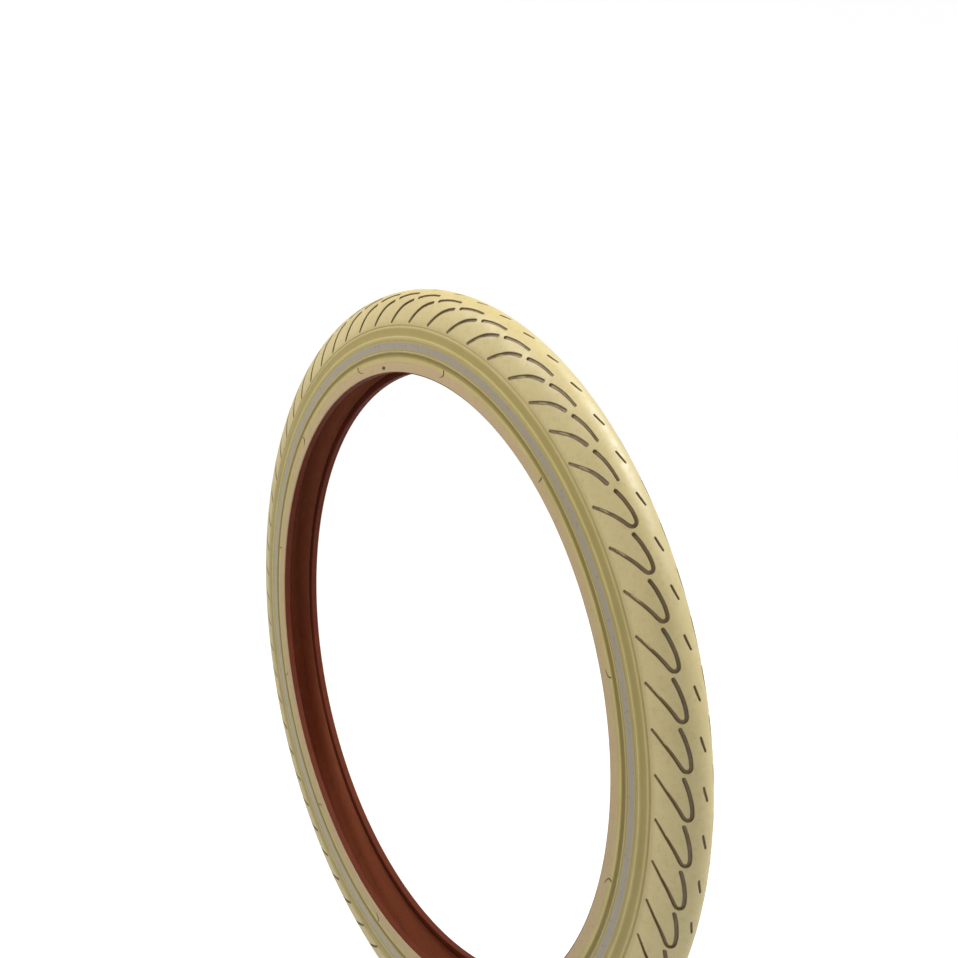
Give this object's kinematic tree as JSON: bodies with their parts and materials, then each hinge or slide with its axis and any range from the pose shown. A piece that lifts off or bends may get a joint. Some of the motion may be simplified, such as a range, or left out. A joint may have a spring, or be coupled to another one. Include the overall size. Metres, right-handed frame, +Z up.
{
  "type": "bicycle tire",
  "caption": "Cream city bicycle tire for a small wheel, wire beads, curved-sipe tread and grey reflective side strips, shown off the rim in its free shape.",
  "frame": {"origin": "wheel centre: on the wheel axis, in the middle plane of the tire", "axes": "+Y along the wheel axis, +Z up when the wheel stands, +X along the direction of travel"},
  "size_m": [0.5119, 0.0316, 0.512],
  "materials": {
    "tread_rubber": "matt moulded cream rubber",
    "sidewall_rubber": "satin moulded cream rubber",
    "reflective_tape": "grey retroreflective tape",
    "liner_rubber": "matt red-brown skim with the cords showing through",
    "chafer_cloth": "rubberised cloth",
    "rim_strip_cloth": "pinkish cream rubberised cloth",
    "ply_cord": "rubber-coated cord",
    "wrap_cloth": "woven cloth",
    "belt_rubber": "fibre-filled rubber",
    "filler_rubber": "hard rubber",
    "bead_steel": "brass-coated steel wire"
  },
  "bodies": {
    "root": {"tread": "tread_rubber", "puncture_belt": "belt_rubber", "outer_ply": "ply_cord", "inner_ply": "ply_cord", "inner_liner": "liner_rubber", "bead_wires_left": "bead_steel", "bead_filler_left": "filler_rubber", "bead_wrap_left": "wrap_cloth", "chafer_left": "chafer_cloth", "rim_strip_left": "rim_strip_cloth", "sidewall_left": "sidewall_rubber", "reflective_strip_left": "reflective_tape", "bead_wires_right": "bead_steel", "bead_filler_right": "filler_rubber", "bead_wrap_right": "wrap_cloth", "chafer_right": "chafer_cloth", "rim_strip_right": "rim_strip_cloth", "sidewall_right": "sidewall_rubber", "reflective_strip_right": "reflective_tape"}
  },
  "joints": []
}
